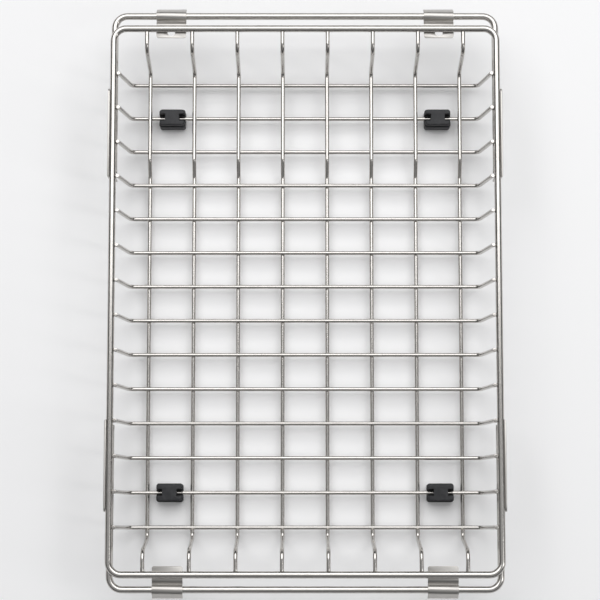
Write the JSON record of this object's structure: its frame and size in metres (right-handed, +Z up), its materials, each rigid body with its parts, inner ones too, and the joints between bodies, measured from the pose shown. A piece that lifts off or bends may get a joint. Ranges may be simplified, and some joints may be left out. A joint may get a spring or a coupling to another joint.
{
  "type": "drying rack",
  "caption": "Shallow rectangular wire basket for drying, on rubber feet, with a U-shaped bar leg at each end that folds flat under the rim and swings down to stand on.",
  "frame": {"origin": "middle of the rectangle of ground under the rack: the rubber feet's soles are at Z = 0", "axes": "+Z up; X across the rack, +X to the right; Y along the rack, +Y to the rear end, whose clips have a hole"},
  "size_m": [0.2836, 0.4242, 0.051],
  "materials": {
    "steel_bar": "brushed round bar, satin to bright",
    "steel_wire": "drawn wire, satin to bright",
    "steel_sheet": "brushed sheet, satin",
    "steel_pin": "turned, satin",
    "black_rubber": "matt moulded rubber"
  },
  "bodies": {
    "basket": {"basket_rim": "steel_bar", "cross_wire_1": "steel_wire", "cross_wire_2": "steel_wire", "cross_wire_3": "steel_wire", "cross_wire_4": "steel_wire", "cross_wire_5": "steel_wire", "cross_wire_6": "steel_wire", "cross_wire_7": "steel_wire", "cross_wire_8": "steel_wire", "cross_wire_9": "steel_wire", "cross_wire_10": "steel_wire", "cross_wire_11": "steel_wire", "cross_wire_12": "steel_wire", "cross_wire_13": "steel_wire", "cross_wire_14": "steel_wire", "long_wire_1": "steel_wire", "long_wire_2": "steel_wire", "long_wire_3": "steel_wire", "long_wire_4": "steel_wire", "long_wire_5": "steel_wire", "long_wire_6": "steel_wire", "long_wire_7": "steel_wire", "long_wire_8": "steel_wire", "side_plate_rear_left": "steel_sheet", "side_plate_rear_right": "steel_sheet", "side_plate_front_left": "steel_sheet", "side_plate_front_right": "steel_sheet", "pivot_pin_rear_left": "steel_pin", "pivot_pin_rear_right": "steel_pin", "pivot_pin_front_left": "steel_pin", "pivot_pin_front_right": "steel_pin", "end_clip_rear_left": "steel_sheet", "end_clip_rear_right": "steel_sheet", "end_clip_front_left": "steel_sheet", "end_clip_front_right": "steel_sheet", "foot_rear_left": "black_rubber", "foot_rear_right": "black_rubber", "foot_front_left": "black_rubber", "foot_front_right": "black_rubber"},
    "rear_leg": {"rear_leg": "steel_bar"},
    "front_leg": {"front_leg": "steel_bar"}
  },
  "joints": [
    {"name": "rear_leg_fold", "type": "hinge", "parent": "basket", "child": "rear_leg", "pos_m": [0, 0.092, 0.0431], "axis": [-1, 0, 0], "range_deg": [0, 95]},
    {"name": "front_leg_fold", "type": "hinge", "parent": "basket", "child": "front_leg", "pos_m": [0, -0.092, 0.0431], "axis": [1, 0, 0], "range_deg": [0, 95]}
  ]
}
